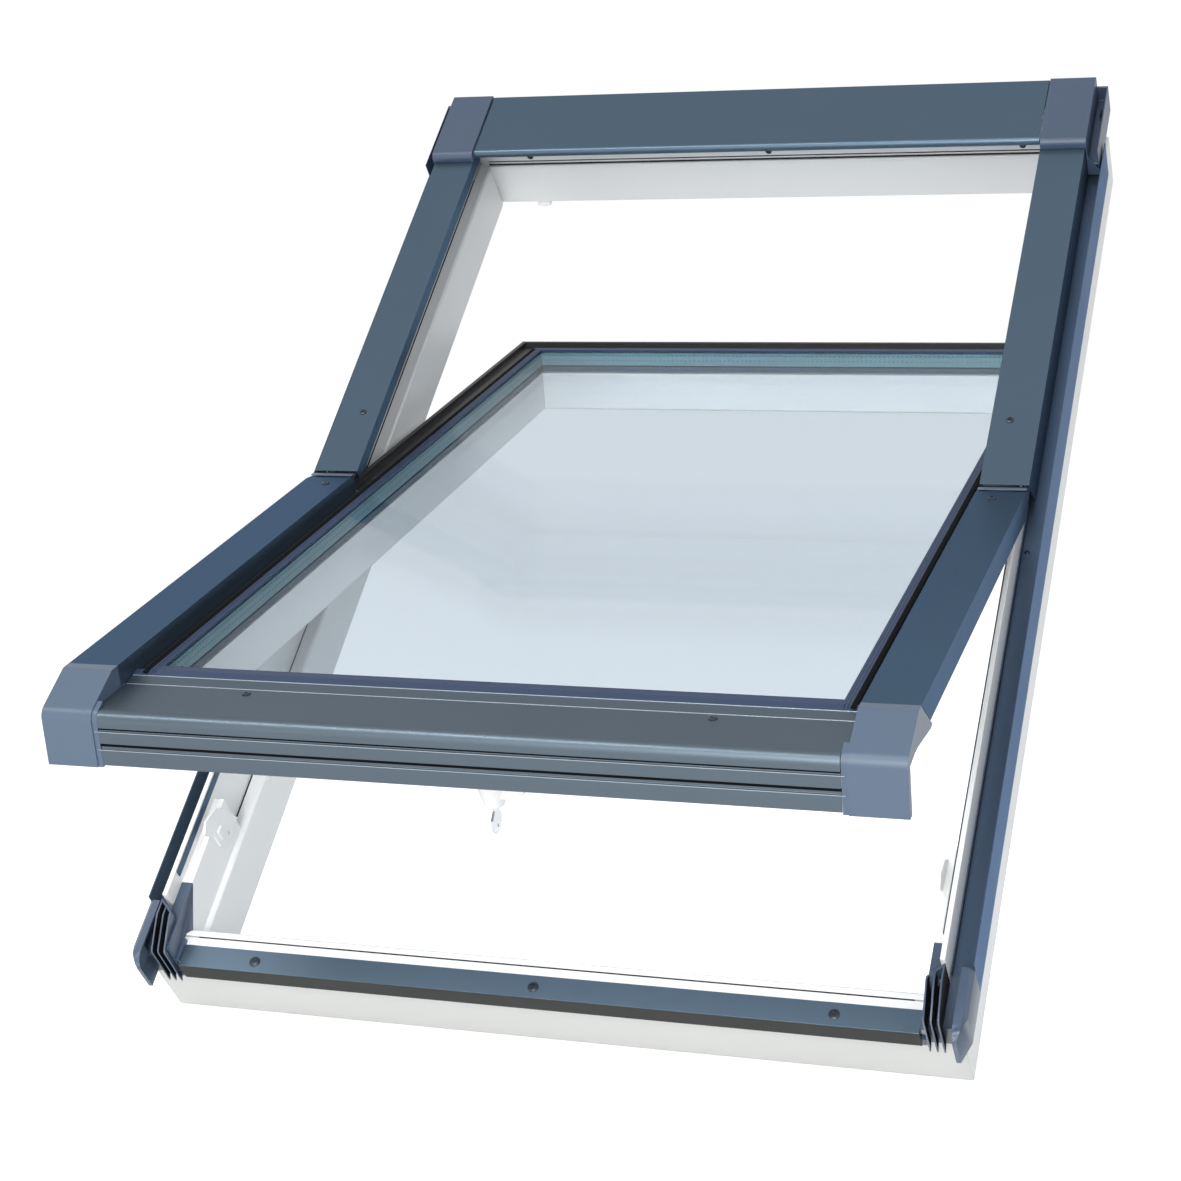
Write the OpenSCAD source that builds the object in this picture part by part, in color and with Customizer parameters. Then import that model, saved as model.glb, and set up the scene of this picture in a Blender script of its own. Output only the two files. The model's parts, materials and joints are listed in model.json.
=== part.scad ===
// Centre pivot roof window with its sash partly open.
// The window's own axes are x across, y up the slope and z out of the roof, measured from the
// middle of the pivot line at the face of the side covers. The model stands in the pitch of its
// roof, with the origin on the room side of the sill.

/* [Window] */
// Width across the outside of the frame
window_w = 780; // [640:10:1140]
// Length up the slope over the covers
window_l = 1180; // [960:10:1400]
// Depth from the face of the covers to the room side
frame_depth = 141; // [132:1:160]
// Pitch of the roof in degrees
roof_pitch = 45; // [15:1:75]
// Angle at which the sash stands open
open_angle = 30; // [0:1:60]
// Height of the pivot axis over the face of the covers
axis_rise = 5; // [0:0.5:8]
// Running clearance between the sash and the frame
run_gap = 5; // [5:0.25:6]
// Fitting clearance between fixed pieces
fit_gap = 0.3; // [0.1:0.05:0.5]
// Thickness of the cover sheets
sheet_t = 1.2; // [0.8:0.1:1.6]

/* [Frame] */
// Width of a side member on the room side
side_w = 37; // [32:0.5:44]
// Width of the ledge in the rebate
ledge_w = 16.5; // [15:0.5:18]
// Depth of the ledge below the covers
ledge_depth = 78; // [76:1:90]
// Width of the slot beside the ledge
slot_w = 2; // [1:0.25:3]
// Depth of that slot
slot_depth = 6; // [3:0.5:10]
// Thickness of the upstanding rib
rib_t = 4.7; // [3:0.1:5]
// Depth of the top of the rib below the covers
rib_depth = 9; // [8:0.5:12]
// Depth of the shoulder outside the rib
shoulder_depth = 47; // [44:0.5:52]
// Depth at which the full width of the member begins
band_depth = 72; // [70:1:80]
// Step in of the member above that band
band_step = 4; // [2:0.5:6]
// Distance from the end of the covers to the lower end of the rib
rib_stop = 62; // [60:1:80]
// Bevel of the members' edges on the room side
edge_bevel = 2; // [1:0.5:4]
// Width of the head member up the slope
head_w = 23; // [18:0.5:30]
// Distance from the end of the covers to the head member
head_inset = 5; // [3:0.5:10]
// Slant of the head member's face on the room side
head_slant = 5; // [2:0.5:8]
// Depth of the lower edge of the plain band on the head's face
head_band = 68.5; // [66:0.5:69]
// Width of the fine groove under that band
head_groove_w = 2; // [1:0.25:2.5]
// Depth of that groove into the head
head_groove_in = 2; // [1:0.5:4]
// Depth of the upper edge of the recess below
head_recess = 72.5; // [72:0.25:74]
// Width of that recess
head_recess_w = 4.5; // [3:0.5:5]
// Depth of that recess into the head
head_recess_in = 3; // [2:0.5:6]
// Depth at which the head's slanted face begins
head_step = 80; // [80:1:86]
// Width of the sill member up the slope
sill_w = 34; // [28:0.5:40]
// Distance from the end of the covers to the sill member
sill_inset = 18; // [16:0.5:24]
// Depth of the top of the sill
sill_depth = 51; // [48:0.5:56]
// Width of the groove along the top of the sill
sill_groove_w = 1.5; // [1:0.25:2]
// Depth of that groove
sill_groove_in = 3; // [2:0.5:5]
// Distance from the room side of the sill to that groove
sill_groove_set = 9; // [6:0.5:12]
// Distance from the end of the covers to the upper edge of the sill strip
sill_strip_start = 34; // [30:0.5:40]
// Distance from the end of the covers to the front of the sill strip
sill_strip_inset = 10.75; // [10.75:0.25:12]
// Depth of the lower edge of the sill strip's front
sill_strip_drop = 71; // [66:0.5:71]

/* [Rebate] */
// Thickness of the insert in the lower end of the rebate
insert_w = 11; // [10:0.5:11.5]
// Depth of the top of that insert
insert_depth = 27; // [26:0.5:30]
// Length of that insert up the slope
insert_l = 97; // [84:1:120]
// Distance from the end of the covers to the lower end of that insert
insert_stop = 88; // [86:1:96]
// Width and depth of the fine groove along the insert
insert_groove = 1; // [0.5:0.25:1.5]
// Distance from the end of the covers to the catch plate's lower end
catch_stop = 134; // [128:1:140]
// Length of the catch plate up the slope
catch_l = 52; // [44:1:56]
// Depth of the top of the catch plate
catch_depth = 7; // [6.5:0.5:10]
// Height of the catch plate
catch_h = 54; // [46:1:58]
// Thickness of the catch plate
catch_t = 2.5; // [2:0.25:3]
// Radius of the hole in the catch plate
catch_hole_r = 2; // [1.5:0.25:2.5]
// Length of the stop on the catch plate
stop_l = 8; // [6:0.5:10]
// Height of that stop
stop_h = 13; // [10:0.5:14]

/* [Corner block] */
// Thickness of the block's plates
plate_w = 2.5; // [2:0.25:3]
// Thickness of the block's upright fins
fin_t = 1.5; // [1:0.1:1.5]
// Distance from one fin to the next
fin_pitch = 6.5; // [5:0.25:6.5]
// Depth of the top of the fins
fin_top = 12; // [10:0.5:14]
// Slant of the bar across the top of the fins, up the slope
fin_slant = 14; // [10:1:20]
// Depth of the point at the lower end of each fin
fin_drop = 77; // [74:0.5:80]
// Height of that point
fin_point = 7; // [4:0.5:10]
// Drop of the inner plate's lower edge over the ledge
plate_drop = 36; // [30:1:36]
// Width of the raised edge beside the sill strip
edge_w = 4; // [3:0.5:5]
// Height of that edge over the sill
edge_h = 5; // [4:0.5:6]
// Length of the tab behind the front of the sill strip
tab_l = 23; // [16:1:30]
// Height of that tab
tab_h = 9; // [6:0.5:12]
// Depth of the top of the outer cheek
cheek_depth = 28; // [26:0.5:32]
// Reach of the outer cheek beyond the end of the covers
cheek_out = 2; // [0:0.5:4]
// Radius of the cheek's bend over its nose
cheek_r = 14; // [10:0.5:16]
// Length of the slant of the cheek's outer side at its nose
cheek_slant = 20; // [16:1:24]
// Width of the cheek's nose
cheek_nose = 4; // [2:0.5:6]
// Bevel along the cheek's outer edge
cheek_bevel = 4; // [3:0.5:6]

/* [Covers] */
// Width of a side cover
cover_w = 48.5; // [44:0.5:52]
// Distance from the side of the window to a side cover
cover_inset = 9.5; // [9:0.5:12]
// Depth of an upper cover's outer flange
upper_flange = 40; // [30:1:44]
// Depth of an upper cover's inner flange
upper_lip = 13.5; // [10:0.5:13.5]
// Slant of the lower end of that outer flange
flange_slant = 14; // [8:1:20]
// Depth of a lower cover's outer flange
lower_flange = 27; // [20:0.5:30]
// Length of the bevelled lip at the upper end of a lower cover
lip_l = 16; // [10:0.5:20]
// Drop of that lip
lip_drop = 2.5; // [1.5:0.25:4]
// Length of the corner caps up the slope at the head
head_cap_l = 106; // [90:1:140]
// Rise of the head caps over the covers
head_cap_rise = 11.5; // [10:0.5:16]
// Radius of the head caps' nose
head_cap_r = 8; // [4:0.5:8]
// Depth of the head caps' side walls below the covers
head_cap_drop = 38; // [30:1:44]
// Width of the open channel beside a head cap
channel_w = 13.2; // [10:0.2:13.2]
// Depth of the floor of that channel
channel_depth = 24; // [20:0.5:28]
// Depth of the top of the channel's outer wall
channel_rim = 3; // [2:0.5:6]
// Depth of the inner corner of the channel's front plate
channel_lip = 8; // [6:0.5:12]
// Depth of the outer corner of that plate
channel_lip_drop = 32; // [28:0.5:36]
// Distance from the end of the covers to the hook in the channel
hook_set = 38; // [30:1:50]
// Length of that hook
hook_l = 12; // [8:0.5:16]
// Height of that hook
hook_h = 13; // [8:0.5:16]
// Rise of the head cover over the side covers
head_rise = 9; // [7:0.5:10]
// Depth of the nose of the head cover
head_nose = 11; // [8:0.5:12]
// Radius of the nose of the head cover
head_nose_r = 6; // [3:0.5:6]
// Set back of the head cover's nose from the caps
head_nose_back = 6; // [3:0.5:12]
// Radius of the bend at the ridge side of the head cover
bend_r = 3; // [2:0.5:4]
// Thickness of the moulded caps
cap_t = 2.5; // [2:0.25:2.5]
// Lap of the head caps over the upper covers
head_cap_lap = 20; // [10:1:40]
// Length of the sash caps up the slope
sash_cap_l = 60; // [56:1:70]
// Flat lip at the upper end of a sash cap
sash_cap_lip = 10; // [8:0.5:12]
// Radius of the bend below that lip
sash_cap_bend = 8; // [4:0.5:10]
// Depth of the nose of the sash caps
sash_cap_nose = 22; // [18:0.5:24]
// Radius of the nose of the sash caps
sash_cap_r = 12; // [8:0.5:14]
// Set back of the sash caps' nose from their front
sash_cap_back = 1; // [0:0.25:2]
// Depth of the front of the sash caps
sash_cap_front = 71.5; // [70:0.5:76]
// Set back of the front of the sash caps from the end of the covers
sash_cap_set = 2; // [1:0.25:2.5]
// Reach of a sash cap's wing up the slope
wing_l = 37; // [30:1:44]
// Depth of the tip of that wing
wing_depth = 31.5; // [28:0.5:32]
// Rounding of the wing's tip
wing_tip = 2.5; // [1:0.5:3]
// Width of the flange down the outer edge of a sash cap's front
cap_flange = 8; // [5:0.5:8]
// Width of the rim beside the bottom cover
rim_w = 5; // [3:0.5:6]

/* [Flashing] */
// Reach of the side flashing beyond the frame
skirt_out = 6.8; // [6:0.2:10]
// Depth of the upper edge of the skirt
skirt_top = 24; // [20:1:32]
// Depth of the lower edge of the skirt
skirt_bottom = 70; // [60:1:71]
// Height of the flashing's leg against the rib
leg_h = 8; // [4:0.5:8]
// Distance from the end of the covers to the top of the flashing
flashing_top = 70; // [40:1:90]
// Distance from the end of the covers to the bottom of the flashing
flashing_bottom = 67; // [66:1:74]

/* [Sash] */
// Play between the sash and the frame at each side
sash_play = 9; // [8.5:0.5:12]
// Play between the sash and the head
head_play = 6; // [6:0.5:10]
// Play between the sash and the sill
sill_play = 12; // [11:0.5:16]
// Width of a sash side member
stile_w = 34; // [30:0.5:38]
// Width of the sash's top rail
top_rail_w = 31; // [26:0.5:36]
// Width of the sash's bottom rail
bottom_rail_w = 41; // [36:0.5:44]
// Depth of the sash's room side
sash_back = 96; // [90:1:100]
// Depth of the sash's upper face
sash_face = 20; // [19:0.5:21]
// Depth of the ledge that carries the glass
glass_seat = 49; // [48:0.5:56]
// Width of the ledge that carries the glass
glass_ledge = 13; // [11:0.5:16]
// Set back of the nose of the sash from the end of the covers
sash_nose = 19; // [18.5:0.5:24]
// Depth of the underside of the sash's nose
nose_under = 44.5; // [40:0.5:44.5]
// Depth of the cover plate on the bottom rail
plate_depth = 20.5; // [20.5:0.5:22]
// Width of the sloping band between the glass and that plate
band_w = 22; // [20:1:26]
// Height of the hem at the upper edge of that band
hem = 3; // [3:0.25:4]
// Set back of the bottom cover's front from the end of the covers
front_back = 3; // [2.5:0.25:3]
// Radius of the nose of the bottom cover
front_r = 9; // [6:0.5:10]
// Depth of the upper edge of the first groove down the front
groove_depth = 34.5; // [32:0.5:36]
// Height of that groove
groove_h = 3.5; // [3:0.25:5]
// Depth of the upper edge of the second groove
low_groove_depth = 49; // [44:0.5:52]
// Height of that groove
low_groove_h = 6; // [4:0.5:8]
// Depth of both grooves into the front
groove_in = 1.5; // [1:0.25:1.5]
// Depth of the lower edge of the front
front_drop = 69.6; // [66:0.2:71]

/* [Glass] */
// Thickness of each pane
pane_t = 3; // [2.5:0.25:3.5]
// Depth of the outer face of the glass
pane_top_depth = 18; // [17:0.5:19]
// Width of the outer gap between the panes
outer_gap = 16; // [12:1:17]
// Width of a spacer bar
spacer_w = 7; // [5:0.5:7]
// Set back of the spacers from the edge of the glazing strips
spacer_back = 1; // [0.5:0.25:1]
// Play round the edge of the glass
glass_play = 1; // [0.5:0.25:2]
// Width of the glazing strips at the sides
strip_w = 13; // [12:0.5:16]
// Width of the glazing strips at the top and bottom
strip_end_w = 9; // [9:0.5:12]
// Thickness of the glazing strips
strip_t = 2.5; // [1.5:0.25:3]
// Thickness of the black seals beside the glass
seal_t = 1; // [0.6:0.1:1]
// Width of the seals' raised lip round the upper half of the sash
seal_lip_w = 5; // [3:0.5:6]
// Height of that lip
seal_lip_h = 7; // [4:0.5:8]

/* [Hinge] */
// Middle radius of the arc groove
arc_r = 49; // [44:0.5:50]
// Width of the lug that slides in the groove
lug_w = 12; // [8:0.5:13]
// Clearance of the lug in the groove
lug_play = 1; // [0.5:0.25:1.5]
// Thickness of the rails beside the groove
rail_t = 4; // [3:0.5:5]
// Thickness of the hinge plates
plate_t = 3; // [2:0.25:3.5]
// Depth of the rails
rail_h = 9; // [6:0.5:10]
// Angle below the slope at which the lug starts with the sash shut
lug_start = 15; // [14:0.5:20]
// Length of the lug as an angle
lug_sweep = 24; // [16:1:30]
// Radius of the rivets that hold the track
rivet_r = 3; // [2:0.25:4]
// Distance of the rivets from the pivot, across the slope of the groove
rivet_set = 20; // [14:0.5:24]
// Length of the sash plate that carries the lug
shoe_l = 70; // [60:1:90]
// Width of that plate
shoe_w = 26; // [20:0.5:30]
// Distance from the pivot to that plate
shoe_set = 24; // [16:1:30]

/* [Handle] */
// Distance from the end of the covers to the handle
handle_set = 84; // [80:1:90]
// Radius of the handle's rosette
rosette_r = 19; // [14:0.5:19.5]
// Thickness of the rosette
rosette_t = 5; // [3:0.5:8]
// Radius of the handle's dome where it meets the rosette
dome_base_r = 15.5; // [12:0.5:16]
// Radius of the dome at its end
dome_end_r = 8.5; // [7:0.5:9]
// Length of the dome
dome_l = 24.5; // [20:0.5:30]
// Rounding of the end of the dome
dome_r = 5; // [3:0.5:5.5]
// Length of the lever from the middle of the dome
lever_l = 31; // [24:0.5:34]
// Width of the lever
lever_w = 16; // [12:0.5:18]
// Height of the lever at the dome
lever_t = 13.5; // [10:0.5:15]
// Height of the lever at its tip
lever_tip = 8; // [6:0.5:9]
// Space between the lever and the rosette
lever_gap = 2.5; // [1:0.5:4]
// Length of the key from the dome to the middle of its bow
key_l = 14; // [13:0.5:18]
// Radius of the key's eight-sided bow
bow_r = 11.5; // [9:0.5:12]
// Radius of the hole in that bow
bow_hole_r = 1.5; // [1:0.25:3]
// Drop of the hole below the middle of the bow
bow_hole_drop = 4; // [0:0.5:5]
// Width of the key's shank
shank_w = 7; // [4:0.5:9]
// Thickness of the key
key_t = 2.4; // [1.5:0.1:3]

/* [Hidden] */
$fn = 64;

// Overrun of every cut
over = 5;
// Straight pieces in a rounded bend
arc_steps = 6;
// Facets of the hinge's circles
arc_facets = 128;

// Places across the window
half_w = window_w / 2;
inner_x = half_w - side_w;
rebate_x = inner_x + ledge_w;
rib_x = rebate_x + rib_t;
step_x = half_w - band_step;
cover_out = half_w - cover_inset;
cover_in = cover_out - cover_w;
skirt_x = half_w + skirt_out;
sash_x = inner_x - sash_play;
reveal_x = sash_x - stile_w;
glass_wall_x = reveal_x + glass_ledge;
strip_out = glass_wall_x - glass_play;
strip_in = strip_out - strip_w;
insert_x = rebate_x - insert_w;
strip_end = insert_x - edge_w - fit_gap;
channel_x = cover_out + fit_gap;
rim_x = cover_in - rim_w;

// Places up the slope
half_l = window_l / 2;
head_out = half_l - head_inset;
head_in = head_out - head_w;
sill_out = half_l - sill_inset;
sill_in = sill_out - sill_w;
rib_end = half_l - rib_stop;
sash_top = head_in - head_play;
sash_bottom = sill_in - sill_play;
top_reveal = sash_top - top_rail_w;
bottom_reveal = sash_bottom - bottom_rail_w;
nose_end = half_l - sash_nose;
cap_start = half_l - head_cap_l;
sash_cap_start = half_l - sash_cap_l;
sash_cap_end = half_l - sash_cap_set;

// Depth of the top of the hinge tracks
track_top = sheet_t + run_gap;

// Places on the mitres, by their distance across
function head_mitre(x) = head_in + (x - inner_x) * head_w / side_w;
function sill_mitre(x) = -sill_in - (x - inner_x) * sill_w / side_w;
function top_mitre(x) = top_reveal + (x - reveal_x) * top_rail_w / stile_w;
function bottom_mitre(x) = -bottom_reveal - (x - reveal_x) * bottom_rail_w / stile_w;
glass_top = top_mitre(glass_wall_x) - glass_play;
glass_bottom = bottom_mitre(glass_wall_x) + glass_play;

// Depths of the glass, from the seat outwards
inner_pane_top = pane_t - glass_seat;
inner_gap = glass_seat - 3 * pane_t - outer_gap - pane_top_depth;
middle_pane_top = inner_pane_top + inner_gap + pane_t;
outer_pane_under = middle_pane_top + outer_gap;
strip_top = strip_t - pane_top_depth;

// Top of the bottom rail, under its cover
rail_top = plate_depth + sheet_t;

// Outline of the catch plate, as shares of its length and height
catch_shares = [[0, 0.87], [0.21, 1], [0.62, 0.85], [0.79, 0.59], [0.9, 0.26], [1, 0.02],
    [0.38, 0], [0.21, 0.2], [0.21, 0.56], [0.12, 0.63]];
hole_share = [0.58, 0.12];
stop_share = [0.38, 0.41];

// Sheet of even thickness that follows a path on its left side
function unit(a) = a / norm(a);
function edge_normal(p, i) = let (d = unit(p[i + 1] - p[i])) [-d[1], d[0]];
function corner_shift(p, i) =
    let (a = edge_normal(p, max(i - 1, 0)), b = edge_normal(p, min(i, len(p) - 2)))
    (a + b) / (1 + a * b);
function other_side(p, t) = [for (i = [len(p) - 1:-1:0]) p[i] + t * corner_shift(p, i)];

module sheet(p, t) {
    polygon(concat(p, other_side(p, t)));
}

// Arc that rounds one corner of a path, from its two neighbours and a radius
function arc_corner(before, p, after, r) =
    let (a = unit(before - p), b = unit(after - p), half = acos(a * b) / 2, turn = 180 - 2 * half)
    let (centre = p + unit(a + b) * r / sin(half))
    let (from = p + a * r / tan(half) - centre, to = p + b * r / tan(half) - centre)
    [for (k = [0:arc_steps]) centre
        + (from * sin(turn - turn * k / arc_steps) + to * sin(turn * k / arc_steps)) / sin(turn)];

// Path with the radius of each corner, 0 where it stays sharp
function rounded(p, r) = [for (i = [0:len(p) - 1])
    each r[i] > 0 ? arc_corner(p[i - 1], p[i], p[i + 1], r[i]) : [p[i]]];

// Outer outline of a sash cap, from its upper end over the nose to its lower edge
sash_cap_path = rounded([[-sash_cap_start, 0], [-sash_cap_start - sash_cap_lip, 0],
    [sash_cap_back - sash_cap_end, -sash_cap_nose], [-sash_cap_end, -sash_cap_front]],
    [0, sash_cap_bend, sash_cap_r, 0]);

// Outline of x and z, run up the slope between two places
module along_slope(low, high) {
    translate([0, high, 0])
        rotate([90, 0, 0])
            linear_extrude(high - low)
                children();
}

// Outline of y and z, run across between two places
module across(left, right) {
    translate([left, 0, 0])
        rotate([90, 0, 90])
            linear_extrude(right - left)
                children();
}

// Outline of x and y, raised between two depths
module raised(low, high) {
    translate([0, 0, low])
        linear_extrude(high - low)
            children();
}

module bar(low, high) {
    translate(low)
        cube(high - low);
}

module bar2(low, high) {
    translate(low)
        square(high - low);
}

// From the window's axes to the pitch of the roof
module in_roof() {
    rotate([roof_pitch, 0, 0])
        translate([0, (sill_in + sill_out) / 2, frame_depth])
            children();
}

// From the shut sash to the open one
module on_sash() {
    in_roof()
        translate([0, 0, axis_rise])
            rotate([-open_angle, 0, 0])
                translate([0, 0, -axis_rise])
                    children();
}

module left_hand() {
    mirror([1, 0, 0])
        children();
}

// Frame members, welded at their mitres
module frame_side() {
    outline = [[inner_x + edge_bevel, -frame_depth], [half_w - edge_bevel, -frame_depth],
        [half_w, edge_bevel - frame_depth], [half_w, -band_depth], [step_x, -band_depth],
        [step_x, -shoulder_depth], [rib_x, -shoulder_depth], [rib_x, -rib_depth],
        [rebate_x, -rib_depth], [rebate_x, -ledge_depth - slot_depth],
        [rebate_x - slot_w, -ledge_depth - slot_depth], [rebate_x - slot_w, -ledge_depth],
        [inner_x + edge_bevel, -ledge_depth], [inner_x, -ledge_depth - edge_bevel],
        [inner_x, edge_bevel - frame_depth]];
    near = inner_x - over;
    far = half_w + over;
    color("white")
        intersection() {
            difference() {
                along_slope(-half_l, half_l)
                    polygon(outline);
                bar([rebate_x - over, -half_l - over, -shoulder_depth],
                    [rib_x + over, -rib_end, 0]);
            }
            raised(-frame_depth - over, over)
                polygon([[near, sill_mitre(near)], [far, sill_mitre(far)],
                    [far, head_mitre(far)], [near, head_mitre(near)]]);
        }
}

module frame_side_right() {
    in_roof()
        frame_side();
}

module frame_side_left() {
    in_roof()
        left_hand()
            frame_side();
}

// Head member, with a groove and a recess under the plain band of its face
module frame_head() {
    rib_in = head_mitre(rib_x);
    step_in = head_mitre(step_x);
    outline = [[head_in + head_slant + edge_bevel, -frame_depth],
        [head_out - edge_bevel, -frame_depth], [head_out, edge_bevel - frame_depth],
        [head_out, -band_depth], [step_in, -band_depth], [step_in, -shoulder_depth],
        [rib_in, -shoulder_depth], [rib_in, -rib_depth], [head_in, -rib_depth],
        [head_in, -head_band], [head_in + head_groove_in, -head_band],
        [head_in + head_groove_in, -head_band - head_groove_w],
        [head_in, -head_band - head_groove_w], [head_in, -head_recess],
        [head_in + head_recess_in, -head_recess],
        [head_in + head_recess_in, -head_recess - head_recess_w],
        [head_in, -head_recess - head_recess_w], [head_in, -head_step],
        [head_in + head_slant, edge_bevel - frame_depth]];
    near = inner_x - over;
    far = half_w + over;
    color("white")
        in_roof()
            intersection() {
                across(-half_w, half_w)
                    polygon(outline);
                raised(-frame_depth - over, over)
                    polygon([[-near, head_mitre(near)], [near, head_mitre(near)],
                        [far, head_mitre(far)], [-far, head_mitre(far)]]);
            }
}

module frame_sill() {
    groove_y = -sill_in - sill_groove_set;
    outline = [[edge_bevel - sill_out, -frame_depth], [-sill_in - edge_bevel, -frame_depth],
        [-sill_in, edge_bevel - frame_depth], [-sill_in, -sill_depth - edge_bevel],
        [-sill_in - edge_bevel, -sill_depth], [groove_y + sill_groove_w, -sill_depth],
        [groove_y + sill_groove_w, -sill_depth - sill_groove_in],
        [groove_y, -sill_depth - sill_groove_in], [groove_y, -sill_depth],
        [-sill_out, -sill_depth], [-sill_out, edge_bevel - frame_depth]];
    near = inner_x - over;
    far = half_w + over;
    color("white")
        in_roof()
            intersection() {
                across(-half_w, half_w)
                    polygon(outline);
                raised(-frame_depth - over, over)
                    polygon([[near, sill_mitre(near)], [-near, sill_mitre(near)],
                        [-far, sill_mitre(far)], [far, sill_mitre(far)]]);
            }
}

// Flashing channel that lies on the shoulder, with its skirt outside
module side_flashing() {
    color("slategray")
        along_slope(flashing_bottom - half_l, half_l - flashing_top) {
            bar2([rib_x, -shoulder_depth], [skirt_x, sheet_t - shoulder_depth]);
            bar2([rib_x, -shoulder_depth], [rib_x + sheet_t, leg_h - shoulder_depth]);
            bar2([skirt_x - sheet_t, -skirt_bottom], [skirt_x, -skirt_top]);
        }
}

module side_flashing_right() {
    in_roof()
        side_flashing();
}

module side_flashing_left() {
    in_roof()
        left_hand()
            side_flashing();
}

// Upper side cover, a channel whose inner web stands on the rib
module upper_cover() {
    cover_end = cap_start + head_cap_lap;
    color("slategray") {
        along_slope(0, cover_end) {
            bar2([cover_in, -sheet_t], [cover_out, 0]);
            bar2([cover_in, -upper_lip], [cover_in + sheet_t, 0]);
            bar2([rib_x - sheet_t, -rib_depth], [rib_x, 0]);
        }
        across(cover_out - sheet_t, cover_out)
            polygon([[0, 0], [flange_slant, -upper_flange], [cover_end, -upper_flange],
                [cover_end, 0]]);
    }
}

module upper_cover_right() {
    in_roof()
        upper_cover();
}

module upper_cover_left() {
    in_roof()
        left_hand()
            upper_cover();
}

// Moulded cap over the corner of the head, with an open channel on its outer side
module head_cap() {
    wall_x = channel_x + cap_t / 2;
    end_x = channel_x + channel_w;
    hook_x = channel_x + channel_w / 2;
    outline = rounded([[half_l, -head_cap_drop], [half_l, head_cap_rise],
        [cap_start, head_cap_rise], [cap_start, fit_gap]], [0, bend_r, head_cap_r, 0]);
    color("lightslategray") {
        across(cover_in, wall_x)
            sheet(outline, cap_t);
        across(channel_x, wall_x)
            polygon(concat(outline, [[cap_start, -head_cap_drop]]));
        across(cover_in, cover_in + cap_t / 2)
            intersection() {
                polygon(outline);
                bar2([cap_start, fit_gap], [half_l, head_cap_rise]);
            }
        along_slope(cap_start, half_l) {
            bar2([channel_x, -channel_depth], [end_x, cap_t - channel_depth]);
            bar2([end_x - cap_t / 2, -head_cap_drop], [end_x, -channel_rim]);
        }
        along_slope(cap_start, cap_start + cap_t)
            polygon([[channel_x, -head_cap_drop], [channel_x, -channel_lip],
                [end_x, -channel_lip_drop], [end_x, -head_cap_drop]]);
        along_slope(half_l - cap_t, half_l)
            bar2([channel_x, -head_cap_drop], [end_x, -channel_rim]);
        along_slope(half_l - hook_set, half_l - hook_set + hook_l)
            bar2([hook_x, -channel_depth], [hook_x + cap_t / 2, hook_h - channel_depth]);
    }
}

module head_cap_right() {
    in_roof()
        head_cap();
}

module head_cap_left() {
    in_roof()
        left_hand()
            head_cap();
}

// Head cover between the caps, with a web that stands on the head
module head_cover() {
    nose = cap_start + head_nose_back;
    web = (head_in + head_mitre(rib_x)) / 2;
    path = rounded([[half_l, -head_cap_drop], [half_l, head_rise], [nose, head_rise],
        [nose, head_rise - head_nose], [nose + head_nose_back, head_rise - head_nose]],
        [0, bend_r, head_nose_r, 0, 0]);
    color("slategray")
        in_roof()
            across(sheet_t - cover_in, cover_in - sheet_t) {
                sheet(path, sheet_t);
                bar2([web - sheet_t, -rib_depth], [web, head_rise - sheet_t]);
            }
}

// Metal strip on the sill with a flange down its front
module sill_strip() {
    front = sill_strip_inset - half_l;
    top = sheet_t - sill_depth;
    color("slategray")
        in_roof()
            across(-strip_end, strip_end)
                sheet([[sill_strip_start - half_l, top], [front, top],
                    [front, -sill_strip_drop]], sheet_t);
}

// Outline of a fin, from its point up over the nose that a shut sash cap leaves free
module fin_outline() {
    base = -shoulder_depth;
    wall = -sill_out - plate_w;
    intersection() {
        polygon(concat([[cap_t + run_gap - sash_cap_end, -fin_drop]],
            other_side(sash_cap_path, cap_t + run_gap), [[-sash_cap_start, base],
            [-sill_out, base], [-sill_out, fin_point - fin_drop], [wall, fin_point - fin_drop]]));
        bar2([-half_l, -fin_drop], [-sash_cap_start, -fin_top]);
    }
}

// Outer cheek of the block, a hollow nose beside the sash cap
module block_cheek() {
    cheek_x = cover_out + run_gap;
    start = flashing_bottom - fit_gap - half_l;
    front = -half_l - cheek_out;
    foot = -sill_strip_drop;
    difference() {
        intersection() {
            raised(foot, -cheek_depth)
                polygon(rounded([[cheek_x, start], [cheek_x, front], [cheek_x + cheek_nose, front],
                    [skirt_x, front + cheek_slant], [skirt_x, start]], [0, 0, 0, cheek_r, 0]));
            across(cheek_x, skirt_x)
                polygon(rounded([[start, foot], [start, -cheek_depth], [front, -cheek_depth],
                    [front, foot]], [0, 0, cheek_r, 0]));
            along_slope(front, start)
                polygon([[cheek_x, foot], [cheek_x, -cheek_depth],
                    [skirt_x - cheek_bevel, -cheek_depth], [skirt_x, -cheek_depth - cheek_bevel],
                    [skirt_x, foot]]);
        }
        bar([cheek_x - over, -sill_out, foot - over],
            [skirt_x - plate_w, start + over, -cheek_depth - plate_w]);
    }
}

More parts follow.
